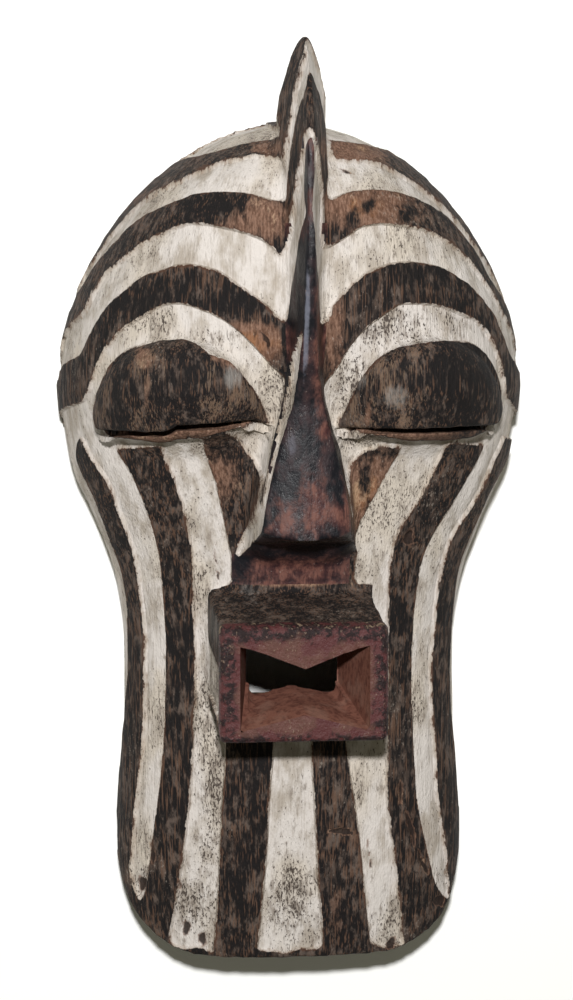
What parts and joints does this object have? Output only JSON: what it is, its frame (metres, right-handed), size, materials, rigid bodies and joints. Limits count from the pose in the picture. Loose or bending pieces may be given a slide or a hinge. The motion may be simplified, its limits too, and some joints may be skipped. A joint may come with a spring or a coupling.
{
  "type": "kifwebe mask",
  "caption": "Carved wooden face mask with a hollow back, half-closed eyes, a boxed mouth and a tall crest, worn or hung.",
  "frame": {"origin": "on the surface that the rim rests on, under the middle of the mask's length and width", "axes": "+Z out of the face, +Y from the chin to the crest, +X to the right of someone looking at the face"},
  "size_m": [0.2498, 0.482, 0.152],
  "materials": {
    "painted_wood": "dark patina with white clay rubbed into carved grooves"
  },
  "bodies": {
    "root": {"mask": "painted_wood"}
  },
  "joints": []
}
